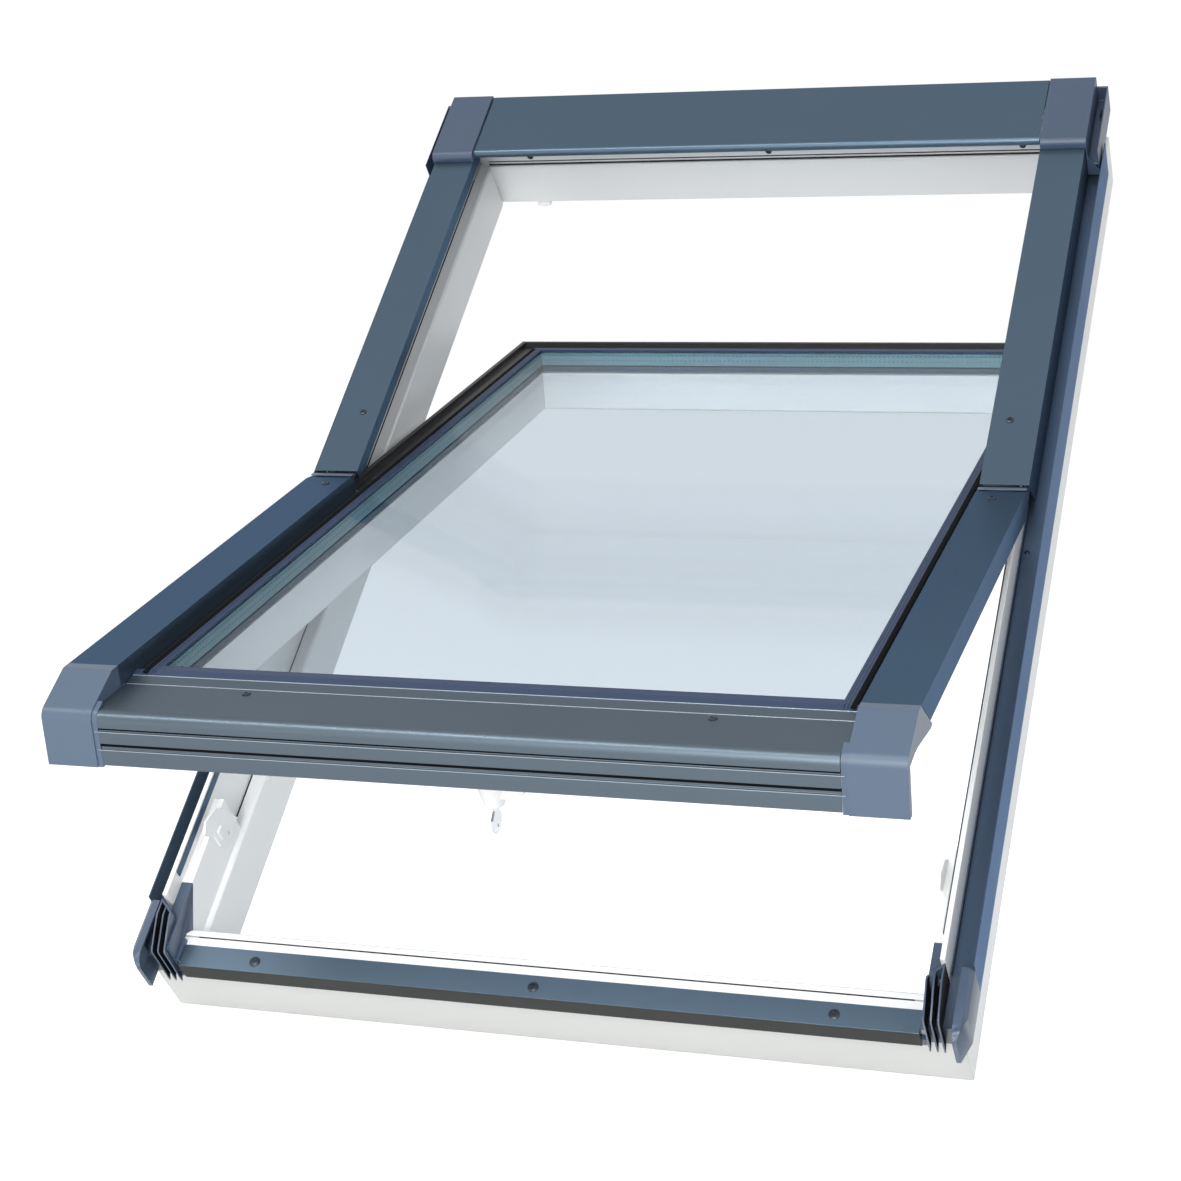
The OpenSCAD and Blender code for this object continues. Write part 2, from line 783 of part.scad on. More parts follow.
// Moulded block that closes the bottom of the flashing channel, with three fins between an
// inner plate in the rebate and a cheek outside
module corner_block() {
    fin_x = insert_x + plate_w / 2;
    fins_out = fin_x + 2 * fin_pitch + fin_t;
    wall = -sill_out - plate_w;
    start = insert_stop - half_l;
    mitre_y = sill_mitre(insert_x);
    strip_front = sill_strip_inset + sheet_t + fit_gap - half_l;
    slope_top = -insert_depth - plate_w;
    slope_end = -insert_depth - plate_drop;
    color("darkslategray") {
        bar([insert_x, mitre_y, slope_top], [rebate_x - fit_gap, start, -insert_depth]);
        across(insert_x, insert_x + plate_w)
            polygon([[start, -insert_depth], [start, slope_top],
                [start - plate_drop, slope_end], [mitre_y + fit_gap, slope_end],
                [mitre_y + fit_gap, fit_gap - sill_depth], [wall, fit_gap - sill_depth],
                [wall, -insert_depth]]);
        intersection() {
            union() {
                for (i = [0:2])
                    across(fin_x + i * fin_pitch, fin_x + i * fin_pitch + fin_t)
                        fin_outline();
                intersection() {
                    across(fin_x, fins_out)
                        fin_outline();
                    raised(-shoulder_depth, 0)
                        polygon([[fins_out, -sash_cap_start], [fins_out, -sash_cap_start - plate_w],
                            [fin_x, -sash_cap_start - fin_slant - plate_w],
                            [fin_x, -sash_cap_start - fin_slant]]);
                }
            }
            raised(-fin_drop, 0)
                polygon([[fins_out, -sash_cap_start], [fin_x, -sash_cap_start - fin_slant],
                    [fin_x, -half_l], [fins_out, -half_l]]);
        }
        bar([insert_x, -sill_out, -shoulder_depth],
            [fins_out, -sash_cap_start, plate_w - shoulder_depth]);
        bar([rib_x + fit_gap, -sill_out, -shoulder_depth],
            [skirt_x - plate_w, flashing_bottom - fit_gap - half_l, plate_w - shoulder_depth]);
        bar([insert_x, wall, -sill_strip_drop], [skirt_x - plate_w, -sill_out, plate_w - shoulder_depth]);
        bar([insert_x - edge_w, wall, fit_gap - sill_depth],
            [insert_x, -sill_out + cheek_slant, edge_h - sill_depth]);
        bar([insert_x - tab_l, strip_front, -sash_cap_front],
            [insert_x + plate_w, -sill_out - fit_gap, tab_h - sash_cap_front]);
        block_cheek();
    }
}

module corner_block_right() {
    in_roof()
        corner_block();
}

module corner_block_left() {
    in_roof()
        left_hand()
            corner_block();
}

// Insert in the lower end of the rebate, with the plate that catches the sash
module catch() {
    start = insert_stop - half_l;
    foot = -catch_depth - catch_h;
    function at(share) = [catch_stop - half_l + catch_l * share[0], foot + catch_h * share[1]];
    groove_x = insert_x + insert_w / 2;
    stop_at = at(stop_share);
    slope_top = -insert_depth - plate_w - fit_gap;
    slope_end = -insert_depth - plate_drop - fit_gap;
    low_end = sill_mitre(insert_x) + fit_gap;
    color("white") {
        difference() {
            bar([insert_x, start, -ledge_depth], [rebate_x, start + insert_l, -insert_depth]);
            bar([groove_x, start - over, -insert_depth - insert_groove],
                [groove_x + insert_groove, start + insert_l + over, over - insert_depth]);
        }
        across(insert_x, rebate_x)
            polygon([[start, -ledge_depth], [start, slope_top], [start - plate_drop, slope_end],
                [low_end, slope_end], [low_end, -ledge_depth]]);
        across(insert_x - catch_t, insert_x)
            difference() {
                polygon([for (share = catch_shares) at(share)]);
                translate(at(hole_share))
                    circle(catch_hole_r);
            }
        across(insert_x - 2 * catch_t, insert_x)
            bar2(stop_at - [stop_l, stop_h] / 2, stop_at + [stop_l, stop_h] / 2);
    }
}

module catch_right() {
    in_roof()
        catch();
}

module catch_left() {
    in_roof()
        left_hand()
            catch();
}

// Sector between two radii and two angles about the pivot axis
module sector(r_in, r_out, from, to) {
    intersection() {
        difference() {
            circle(r_out, $fn = arc_facets);
            circle(r_in, $fn = arc_facets);
        }
        polygon([[0, 0], 2 * r_out * [cos(from), sin(from)],
            2 * r_out * [cos((from + to) / 2), sin((from + to) / 2)],
            2 * r_out * [cos(to), sin(to)]]);
    }
}

// Arc track of the pivot hinge, concentric with the axis
module hinge_track() {
    groove_in = arc_r - lug_w / 2 - lug_play;
    groove_out = arc_r + lug_w / 2 + lug_play;
    plate_x = rebate_x - plate_t;
    color("silver") {
        intersection() {
            translate([0, 0, axis_rise]) {
                across(plate_x, rebate_x)
                    circle(groove_out + rail_t, $fn = arc_facets);
                across(plate_x - rail_h, rebate_x)
                    sector(groove_out, groove_out + rail_t, -180, 0);
                across(plate_x - rail_h, rebate_x)
                    sector(groove_in - rail_t, groove_in, -180, 0);
            }
            bar([plate_x - rail_h - over, -half_l, -ledge_depth], [rebate_x, half_l, -track_top]);
        }
        for (side = [-1, 1])
            translate([0, side * rivet_set, -track_top - rivet_set / 2])
                across(plate_x - plate_t / 2, rebate_x)
                    circle(rivet_r);
    }
}

module hinge_track_right() {
    in_roof()
        hinge_track();
}

module hinge_track_left() {
    in_roof()
        left_hand()
            hinge_track();
}

// Shoe of the pivot hinge, a plate on the sash with the lug that slides in the track
module hinge_shoe() {
    lug_tip = rebate_x - plate_t - lug_play;
    color("silver") {
        translate([0, 0, axis_rise])
            across(sash_x, lug_tip)
                sector(arc_r - lug_w / 2, arc_r + lug_w / 2, -lug_start, -lug_start - lug_sweep);
        bar([sash_x, shoe_set, -sash_face - shoe_w], [sash_x + plate_t, shoe_set + shoe_l, -sash_face]);
    }
}

module hinge_shoe_right() {
    on_sash()
        hinge_shoe();
}

module hinge_shoe_left() {
    on_sash()
        left_hand()
            hinge_shoe();
}

// Sash members, welded at their mitres
module sash_side() {
    outline = [[reveal_x + edge_bevel, -sash_back], [sash_x - edge_bevel, -sash_back],
        [sash_x, edge_bevel - sash_back], [sash_x, -sash_face], [glass_wall_x, -sash_face],
        [glass_wall_x, -glass_seat], [reveal_x, -glass_seat], [reveal_x, edge_bevel - sash_back]];
    near = reveal_x - over;
    far = sash_x + over;
    color("white")
        intersection() {
            along_slope(-half_l, half_l)
                polygon(outline);
            raised(-sash_back - over, 0)
                polygon([[near, bottom_mitre(near)], [far, bottom_mitre(far)],
                    [far, top_mitre(far)], [near, top_mitre(near)]]);
        }
}

module sash_side_right() {
    on_sash()
        sash_side();
}

module sash_side_left() {
    on_sash()
        left_hand()
            sash_side();
}

module sash_top_rail() {
    wall = top_mitre(glass_wall_x);
    outline = [[top_reveal + edge_bevel, -sash_back], [sash_top - edge_bevel, -sash_back],
        [sash_top, edge_bevel - sash_back], [sash_top, -sash_face], [wall, -sash_face],
        [wall, -glass_seat], [top_reveal, -glass_seat], [top_reveal, edge_bevel - sash_back]];
    near = reveal_x - over;
    far = sash_x + over;
    color("white")
        on_sash()
            intersection() {
                across(-sash_x, sash_x)
                    polygon(outline);
                raised(-sash_back - over, 0)
                    polygon([[-near, top_mitre(near)], [near, top_mitre(near)],
                        [far, top_mitre(far)], [-far, top_mitre(far)]]);
            }
}

module sash_bottom_rail() {
    wall = bottom_mitre(glass_wall_x);
    outline = [[-bottom_reveal - edge_bevel, -sash_back],
        [-bottom_reveal, edge_bevel - sash_back], [-bottom_reveal, -glass_seat],
        [wall, -glass_seat], [wall, -rail_top], [-nose_end, -rail_top],
        [-nose_end, -nose_under], [-sash_bottom, -nose_under],
        [-sash_bottom, edge_bevel - sash_back], [edge_bevel - sash_bottom, -sash_back]];
    near = reveal_x - over;
    color("white")
        on_sash()
            intersection() {
                across(-sash_x, sash_x)
                    polygon(outline);
                raised(-sash_back - over, 0)
                    polygon([[near, bottom_mitre(near)], [-near, bottom_mitre(near)],
                        [-sash_x, -sash_bottom], [-sash_x, -half_l], [sash_x, -half_l],
                        [sash_x, -sash_bottom]]);
            }
}

// Glass, from the outside in
module pane(top) {
    color("lightblue", 0.4)
        on_sash()
            bar([-strip_out, glass_bottom, top - pane_t], [strip_out, glass_top, top]);
}

module outer_pane() {
    pane(-pane_top_depth);
}

module middle_pane() {
    pane(middle_pane_top);
}

module inner_pane() {
    pane(inner_pane_top);
}

module spacer(low, high) {
    edge_x = strip_in + spacer_back;
    edge_top = glass_top - strip_end_w + spacer_back;
    edge_bottom = glass_bottom + strip_end_w - spacer_back;
    color("cadetblue")
        on_sash()
            difference() {
                bar([-edge_x - spacer_w, edge_bottom - spacer_w, low],
                    [edge_x + spacer_w, edge_top + spacer_w, high]);
                bar([-edge_x, edge_bottom, low - over], [edge_x, edge_top, high + over]);
            }
}

module outer_spacer() {
    spacer(middle_pane_top, outer_pane_under);
}

module inner_spacer() {
    spacer(inner_pane_top, middle_pane_top - pane_t);
}

// Metal strips that hold the edge of the glass
module glazing_strips() {
    color("slategray")
        on_sash()
            difference() {
                bar([-strip_out, glass_bottom, -pane_top_depth], [strip_out, glass_top, strip_top]);
                bar([-strip_in, glass_bottom + strip_end_w, -pane_top_depth - over],
                    [strip_in, glass_top - strip_end_w, strip_top + over]);
            }
}

// Black seals on the face of the sash, with a raised lip round its upper half
module glass_seals() {
    top = seal_t - sash_face;
    lip_top = seal_lip_h - sash_face;
    color("black")
        on_sash() {
            for (side = [0, 1])
                mirror([side, 0, 0])
                    bar([glass_wall_x, glass_bottom, -sash_face], [cover_in - fit_gap, over, top]);
            difference() {
                bar([-sash_x, 0, -sash_face], [sash_x, sash_top, top]);
                bar([-glass_wall_x, -over, -sash_face - over],
                    [glass_wall_x, top_mitre(glass_wall_x), top + over]);
            }
            difference() {
                bar([-sash_x, 0, -sash_face], [sash_x, sash_top, lip_top]);
                bar([seal_lip_w - sash_x, -over, -sash_face - over],
                    [sash_x - seal_lip_w, sash_top - seal_lip_w, lip_top + over]);
            }
        }
}

// Lower side cover, carried on the sash, with a bevelled lip at the pivot
module lower_cover() {
    top = [[-run_gap, -lip_drop], [-run_gap - lip_l, 0], [-sash_cap_start, 0]];
    wing_y = fit_gap - sash_cap_start;
    color("slategray") {
        across(cover_in, cover_out)
            sheet(top, sheet_t);
        across(cover_in, cover_in + sheet_t)
            polygon(concat(top, [[-sash_cap_start, -sash_face], [-run_gap, -sash_face]]));
        across(cover_out - sheet_t, cover_out)
            polygon([[-run_gap, -lip_drop], [-run_gap - lip_l, 0], [wing_y, 0],
                [wing_y + wing_l * lower_flange / wing_depth, -lower_flange],
                [-run_gap - flange_slant, -lower_flange],
                [-run_gap, flange_slant - lower_flange]]);
    }
}

module lower_cover_right() {
    on_sash()
        lower_cover();
}

module lower_cover_left() {
    on_sash()
        left_hand()
            lower_cover();
}

// Moulded cap on the bottom corner of the sash, with a wing outside and a rim inside
module sash_cap() {
    flange_y = cap_flange - sash_cap_end;
    color("lightslategray") {
        across(cover_in, cover_out)
            sheet(sash_cap_path, cap_t);
        across(cover_in, cover_in + cap_t)
            intersection() {
                polygon(concat(sash_cap_path, [[-sash_cap_start, -sash_cap_front]]));
                bar2([-sash_cap_end, -rail_top], [-sash_cap_start, 0]);
            }
        across(cover_out - sheet_t, cover_out)
            polygon(concat(sash_cap_path, [[flange_y, -sash_cap_front],
                [flange_y, -lower_flange - wing_tip], [flange_y + cheek_slant, -lower_flange],
                [-sash_cap_start - cheek_slant, -lower_flange],
                [wing_l - sash_cap_start - 2 * wing_tip, -wing_depth - wing_tip],
                [wing_l - sash_cap_start + wing_tip / 2, -wing_depth - wing_tip / 2],
                [wing_l - sash_cap_start, -wing_depth], [-sash_cap_start, -sheet_t]]));
        intersection() {
            across(rim_x, cover_in + cap_t)
                sheet(other_side(sash_cap_path, sheet_t + cap_t), cap_t);
            bar([rim_x, -sash_cap_end, -sash_cap_front], [cover_in + cap_t, -nose_end - fit_gap, 0]);
        }
    }
}

module sash_cap_right() {
    on_sash()
        sash_cap();
}

module sash_cap_left() {
    on_sash()
        left_hand()
            sash_cap();
}

// Cover of the sash's bottom rail, with a rounded nose and two grooves down its front
module bottom_cover() {
    front = front_back - half_l;
    floor_y = front + groove_in;
    hem_y = glass_bottom - fit_gap;
    slant = groove_in / 2;
    path = rounded([[hem_y, strip_top - hem], [hem_y, strip_top], [hem_y - band_w, -plate_depth],
        [front, -plate_depth], [front, -groove_depth], [floor_y, -groove_depth - slant],
        [floor_y, slant - groove_depth - groove_h], [front, -groove_depth - groove_h],
        [front, -low_groove_depth], [floor_y, -low_groove_depth - slant],
        [floor_y, slant - low_groove_depth - low_groove_h],
        [front, -low_groove_depth - low_groove_h], [front, -front_drop]],
        [0, 0, 0, front_r, 0, 0, 0, 0, 0, 0, 0, 0, 0]);
    color("slategray")
        on_sash()
            difference() {
                across(fit_gap - cover_in, cover_in - fit_gap)
                    sheet(path, sheet_t);
                for (side = [0, 1])
                    mirror([side, 0, 0])
                        bar([rim_x - fit_gap, -half_l, -front_drop - over], [cover_in + over, -nose_end, 0]);
            }
}

// Handle on the room side of the bottom rail, a dome with a lever and a key in its end
module on_handle() {
    on_sash()
        translate([0, handle_set - half_l, -sash_back - rosette_t])
            children();
}

module handle_rosette() {
    color("white")
        on_handle()
            cylinder(rosette_t, r = rosette_r);
}

module handle_dome() {
    profile = rounded([[0, -dome_l], [dome_end_r, -dome_l], [dome_base_r, 0], [0, 0]],
        [0, dome_r, 0, 0]);
    color("white")
        on_handle() {
            rotate_extrude()
                polygon(profile);
            along_slope(-lever_w / 2, lever_w / 2)
                polygon([[0, -lever_gap], [lever_l, -lever_gap], [lever_l, -lever_tip],
                    [dome_base_r, -lever_t], [0, -lever_t]]);
        }
}

module handle_key() {
    bow_z = -dome_l - key_l;
    color("silver")
        on_handle()
            across(-key_t / 2, key_t / 2)
                difference() {
                    union() {
                        translate([0, bow_z])
                            rotate(180 / 8)
                                circle(bow_r, $fn = 8);
                        bar2([-shank_w / 2, bow_z], [shank_w / 2, -dome_l]);
                    }
                    translate([0, bow_z - bow_hole_drop])
                        circle(bow_hole_r);
                }
}

frame_side_left();
frame_side_right();
frame_head();
frame_sill();
side_flashing_left();
side_flashing_right();
upper_cover_left();
upper_cover_right();
head_cover();
head_cap_left();
head_cap_right();
sill_strip();
corner_block_left();
corner_block_right();
catch_left();
catch_right();
hinge_track_left();
hinge_track_right();
sash_side_left();
sash_side_right();
sash_top_rail();
sash_bottom_rail();
outer_pane();
middle_pane();
inner_pane();
outer_spacer();
inner_spacer();
glazing_strips();
glass_seals();
lower_cover_left();
lower_cover_right();
sash_cap_left();
sash_cap_right();
bottom_cover();
hinge_shoe_left();
hinge_shoe_right();
handle_rosette();
handle_dome();
handle_key();
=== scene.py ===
# %% [markdown]
# # Centre pivot roof window
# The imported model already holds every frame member, cover, pane and hinge part at its real size.
# This notebook dresses it: it sets a studio, gives each part its finish, rounds the edges that
# catch the light, and adds what is too fine for the solids, such as screws, seals and the tiny
# holes of the spacer.

import json
from math import pi, radians

import bmesh
import bpy
from mathutils import Euler, Matrix, Vector


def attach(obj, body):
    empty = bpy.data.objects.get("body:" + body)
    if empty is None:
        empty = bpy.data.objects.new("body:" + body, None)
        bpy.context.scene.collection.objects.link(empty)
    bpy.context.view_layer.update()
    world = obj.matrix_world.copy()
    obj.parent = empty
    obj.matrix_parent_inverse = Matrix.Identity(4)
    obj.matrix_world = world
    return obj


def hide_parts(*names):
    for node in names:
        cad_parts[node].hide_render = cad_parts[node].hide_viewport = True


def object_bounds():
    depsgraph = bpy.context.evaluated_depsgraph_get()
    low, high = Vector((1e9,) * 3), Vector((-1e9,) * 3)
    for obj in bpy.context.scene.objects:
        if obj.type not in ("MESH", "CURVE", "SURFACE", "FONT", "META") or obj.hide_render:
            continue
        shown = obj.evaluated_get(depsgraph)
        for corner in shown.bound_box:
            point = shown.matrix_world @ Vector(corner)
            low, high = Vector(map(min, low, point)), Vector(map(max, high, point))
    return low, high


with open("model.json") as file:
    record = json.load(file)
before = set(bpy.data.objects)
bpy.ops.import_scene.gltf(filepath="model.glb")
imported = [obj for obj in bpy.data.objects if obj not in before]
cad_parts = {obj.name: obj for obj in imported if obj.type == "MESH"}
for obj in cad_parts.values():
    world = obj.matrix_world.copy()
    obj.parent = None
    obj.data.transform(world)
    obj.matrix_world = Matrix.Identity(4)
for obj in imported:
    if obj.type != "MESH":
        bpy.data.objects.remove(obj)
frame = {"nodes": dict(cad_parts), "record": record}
cad_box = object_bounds()

# %% [markdown]
# ## Two sets of axes
# The window leans in a roof of 45 degrees, and its sash stands open by 30 degrees more. It is
# easier to place a screw by its distance across the window, up the slope and out of the roof.
# Two matrices take such a place to the world: one for the fixed frame and one for the sash, which
# is described as if it were shut.

# %% Axes of the frame and of the sash
MM = 0.001
ROOF_PITCH = radians(45)
OPEN_ANGLE = radians(30)
AXIS_RISE = 5 * MM
SILL_MIDDLE = 555 * MM
FRAME_DEPTH = 141 * MM

in_roof = Matrix.Rotation(ROOF_PITCH, 4, "X") @ Matrix.Translation((0, SILL_MIDDLE, FRAME_DEPTH))
axis_up = Matrix.Translation((0, 0, AXIS_RISE))
on_sash = in_roof @ axis_up @ Matrix.Rotation(-OPEN_ANGLE, 4, "X") @ axis_up.inverted()
pivot = in_roof @ Vector((0, 0, AXIS_RISE))
print("pivot axis at", [round(value, 4) for value in pivot])

# %% [markdown]
# ## Camera
# A camera is matched by its place, its turn and its lens. These values come from fitting the
# window's straight edges to the photograph, so the lens is long and the view is nearly level.

# %% Camera
CAMERA_PLACE = Vector((0.7649, -2.1425, 0.6644))
CAMERA_TURN = Euler((radians(83.553), radians(0.124), radians(18.91)))
LENS_MM = 76.34

camera_data = bpy.data.cameras.new("camera")
camera_data.lens = LENS_MM
camera_data.sensor_width = 36
camera_data.clip_start = 0.05
camera_data.clip_end = 60
camera = bpy.data.objects.new("camera", camera_data)
camera.location = CAMERA_PLACE
camera.rotation_euler = CAMERA_TURN
scene = bpy.context.scene
scene.collection.objects.link(camera)
scene.camera = camera
scene.view_settings.view_transform = "Standard"
print("camera at", tuple(round(value, 3) for value in camera.location))

# %% [markdown]
# ## Floor, sky and lamps
# The photograph has a white ground with no edge. A pale floor that only reflects lamps would turn
# grey towards the back, so its shader adds a glow which only the camera, mirrors and glass can
# see. Where a shadow falls, the lit part of the floor darkens and the glow stays, so the shadow
# still shows. The sky works the same way: white to look at, softer as a lamp.

# %% Studio helpers
def seen_rays(nodes, links):
    """A socket that is 1 for rays from the camera, mirrors and glass."""
    path = nodes.new("ShaderNodeLightPath")
    first = nodes.new("ShaderNodeMath")
    first.operation = "MAXIMUM"
    links.new(path.outputs["Is Camera Ray"], first.inputs[0])
    links.new(path.outputs["Is Glossy Ray"], first.inputs[1])
    both = nodes.new("ShaderNodeMath")
    both.operation = "MAXIMUM"
    links.new(first.outputs[0], both.inputs[0])
    links.new(path.outputs["Is Transmission Ray"], both.inputs[1])
    return both.outputs[0]


def link_object(name, data):
    """A new object in the scene that holds the given data."""
    made = bpy.data.objects.new(name, data)
    scene.collection.objects.link(made)
    return made


print("studio helpers: seen_rays, link_object")

# %% Floor
FLOOR_SIZE = 40.0
FLOOR_TONE = 0.72
FLOOR_GLOW = 0.72
FLOOR_DROP = 0.5 * MM

bm = bmesh.new()
bmesh.ops.create_grid(bm, x_segments=1, y_segments=1, size=FLOOR_SIZE / 2)
bmesh.ops.translate(bm, verts=bm.verts, vec=(0, 0, cad_box[0][2] - FLOOR_DROP))
floor_mesh = bpy.data.meshes.new("floor")
bm.to_mesh(floor_mesh)
bm.free()
floor = link_object("floor", floor_mesh)
floor_material = bpy.data.materials.new("studio_floor")
floor_material.use_nodes = True
nodes, links = floor_material.node_tree.nodes, floor_material.node_tree.links
floor_shader = nodes["Principled BSDF"]
floor_shader.inputs["Base Color"].default_value = (FLOOR_TONE, FLOOR_TONE, FLOOR_TONE, 1)
floor_shader.inputs["Roughness"].default_value = 0.9
floor_shader.inputs["Specular IOR Level"].default_value = 0.1
glow_amount = nodes.new("ShaderNodeMath")
glow_amount.operation = "MULTIPLY"
glow_amount.inputs[1].default_value = FLOOR_GLOW
links.new(seen_rays(nodes, links), glow_amount.inputs[0])
floor_shader.inputs["Emission Color"].default_value = (1, 1, 1, 1)
links.new(glow_amount.outputs[0], floor_shader.inputs["Emission Strength"])
floor.data.materials.append(floor_material)
print("floor height", round(cad_box[0][2], 4))

# %% [markdown]
# As a lamp the sky is brighter and neutral on the viewer's left, where a studio has its big
# window, and dimmer and bluer on the right and behind. That tints the shaded sides of the white
# members as in the photograph, and it needs no hard lamp.

# %% Sky
BRIGHT_SIDE = (-0.45, -0.88, -0.1)
BRIGHT_SKY = (0.7, 0.7, 0.69, 1)
DIM_SKY = (0.2, 0.235, 0.285, 1)

world = bpy.data.worlds.new("studio_sky")
scene.world = world
world.use_nodes = True
nodes, links = world.node_tree.nodes, world.node_tree.links
nodes.clear()
direction = nodes.new("ShaderNodeTexCoord")
facing = nodes.new("ShaderNodeVectorMath")
facing.operation = "DOT_PRODUCT"
facing.inputs[1].default_value = BRIGHT_SIDE
links.new(direction.outputs["Generated"], facing.inputs[0])
span = nodes.new("ShaderNodeMapRange")
span.inputs["From Min"].default_value = -1
links.new(facing.outputs["Value"], span.inputs["Value"])
ramp = nodes.new("ShaderNodeValToRGB")
ramp.color_ramp.elements[0].color = DIM_SKY
ramp.color_ramp.elements[1].color = BRIGHT_SKY
links.new(span.outputs["Result"], ramp.inputs["Fac"])
lamp_sky = nodes.new("ShaderNodeBackground")
links.new(ramp.outputs["Color"], lamp_sky.inputs["Color"])
seen_sky = nodes.new("ShaderNodeBackground")
seen_sky.inputs["Color"].default_value = (1, 1, 1, 1)
choice = nodes.new("ShaderNodeMixShader")
links.new(seen_rays(nodes, links), choice.inputs["Fac"])
links.new(lamp_sky.outputs[0], choice.inputs[1])
links.new(seen_sky.outputs[0], choice.inputs[2])
links.new(choice.outputs[0], nodes.new("ShaderNodeOutputWorld").inputs["Surface"])
print("bright side of the sky:", BRIGHT_SIDE)

# %% [markdown]
# Four soft lamps do the rest. The key lamp draws the bright line along the rounded edges, the
# front lamp reaches under the covers, and the other two lift the lower plate and the right side.

# %% Lamps
def add_soft_lamp(name, place, target, size, watts, tint):
    """A rectangular area lamp that looks at a target; its places and sizes are in metres."""
    data = bpy.data.lights.new(name, "AREA")
    data.shape = "RECTANGLE"
    data.size, data.size_y = size
    data.energy = watts
    data.color = tint
    lamp = link_object(name, data)
    lamp.location = place
    lamp.rotation_euler = (Vector(target) - Vector(place)).to_track_quat("-Z", "Y").to_euler()
    return lamp


lamp_rows = {
    "key_lamp": ((-1.7, -3.1, 3.8), (2.4, 0.8), 85, (1, 1, 1)),
    "front_lamp": ((0.5, -6.0, 0.6), (1.6, 1.6), 190, (1, 1, 1)),
    "plate_lamp": ((0.3, -3.6, 1.5), (1.6, 1.2), 50, (1, 1, 1)),
    "side_lamp": ((3.0, -1.6, 1.4), (1.6, 1.6), 22, (0.96, 0.98, 1)),
}
for name, (place, size, watts, tint) in lamp_rows.items():
    add_soft_lamp(name, place, pivot, size, watts, tint)

# %% [markdown]
# ## Finishes
# Every finish starts from one Principled shader. A noise on Object coordinates varies the colour
# and the roughness a little, and a much finer one makes the bump, because a perfectly even
# surface looks like a drawing. The scales are in metres, so a scale of 900 gives grains of about
# a millimetre, and a scale of 9 gives patches of about a hand's width.

# %% Finish helpers
PATCH_SCALE = 9.0
GLOSS_SCALE = 14.0
GLOSS_SWING = 0.05
RELIEF_DEPTH = 0.2 * MM


def srgb(red, green, blue):
    """A colour picked on a screen, as the linear light that shaders use."""
    def linear(value):
        share = value / 255
        return share / 12.92 if share <= 0.04045 else ((share + 0.055) / 1.055) ** 2.4
    return (linear(red), linear(green), linear(blue), 1)


def start_finish(name, roughness):
    """A material, its nodes, its links and its Principled shader."""
    material = bpy.data.materials.new(name)
    material.use_nodes = True
    nodes = material.node_tree.nodes
    shader = nodes["Principled BSDF"]
    shader.inputs["Roughness"].default_value = roughness
    return material, nodes, material.node_tree.links, shader


def add_noise(nodes, links, scale, detail=2.0):
    """A noise on Object coordinates."""
    place = nodes.new("ShaderNodeTexCoord")
    noise = nodes.new("ShaderNodeTexNoise")
    noise.inputs["Scale"].default_value = scale
    noise.inputs["Detail"].default_value = detail
    links.new(place.outputs["Object"], noise.inputs["Vector"])
    return noise


def vary_colour(nodes, links, shader, colour, spread, scale):
    """Lets the base colour drift round its mean."""
    noise = add_noise(nodes, links, scale)
    ramp = nodes.new("ShaderNodeValToRGB")
    for element, share in zip(ramp.color_ramp.elements, (1 - spread, 1 + spread)):
        element.color = tuple(channel * share for channel in colour[:3]) + (1,)
    ramp.color_ramp.interpolation = "EASE"
    links.new(noise.outputs["Fac"], ramp.inputs["Fac"])
    links.new(ramp.outputs["Color"], shader.inputs["Base Color"])


def vary_roughness(nodes, links, shader, low, high, scale):
    """Lets the roughness drift between two values."""
    noise = add_noise(nodes, links, scale, 3.0)
    span = nodes.new("ShaderNodeMapRange")
    span.inputs["To Min"].default_value = low
    span.inputs["To Max"].default_value = high
    links.new(noise.outputs["Fac"], span.inputs["Value"])
    links.new(span.outputs["Result"], shader.inputs["Roughness"])


def add_bump(nodes, links, shader, scale, strength):
    """Fine relief from a noise of the given scale."""
    noise = add_noise(nodes, links, scale)
    bump = nodes.new("ShaderNodeBump")
    bump.inputs["Strength"].default_value = strength
    bump.inputs["Distance"].default_value = RELIEF_DEPTH
    links.new(noise.outputs["Fac"], bump.inputs["Height"])
    links.new(bump.outputs["Normal"], shader.inputs["Normal"])


print("finish helpers: colour, roughness and bump")

# %% Painted metal, plastics, rubber and steel
SHEET_GRAIN = 120
SHEET_RELIEF = 0.01
MOULD_GRAIN = 1200
FLAT_ANGLE_BLUE = srgb(130, 158, 196)


def plain_finish(name, colour, roughness, spread=0.04, grain=900, relief=0.05, metallic=0.0,
                 edge_tint=(1, 1, 1, 1)):
    """A surface of one mean colour with a slight drift and a fine grain."""
    material, nodes, links, shader = start_finish(name, roughness)
    vary_colour(nodes, links, shader, colour, spread, PATCH_SCALE)
    vary_roughness(nodes, links, shader, roughness - GLOSS_SWING, roughness + GLOSS_SWING,
                   GLOSS_SCALE)
    add_bump(nodes, links, shader, grain, relief)
    shader.inputs["Metallic"].default_value = metallic
    shader.inputs["Specular Tint"].default_value = edge_tint
    return material


def sheet_finish(name, colour, roughness=0.33, spread=0.03, metallic=0.75,
                 edge_tint=FLAT_ANGLE_BLUE):
    """Coated aluminium: flakes under a satin lacquer, which mirror more blue at a flat angle."""
    return plain_finish(name, colour, roughness, spread, SHEET_GRAIN, SHEET_RELIEF, metallic,
                        edge_tint)


def moulded_finish(name, colour, roughness, relief=0.12):
    """Through-coloured plastic with a spark-eroded grain."""
    return plain_finish(name, colour, roughness, spread=0.02, grain=MOULD_GRAIN, relief=relief)


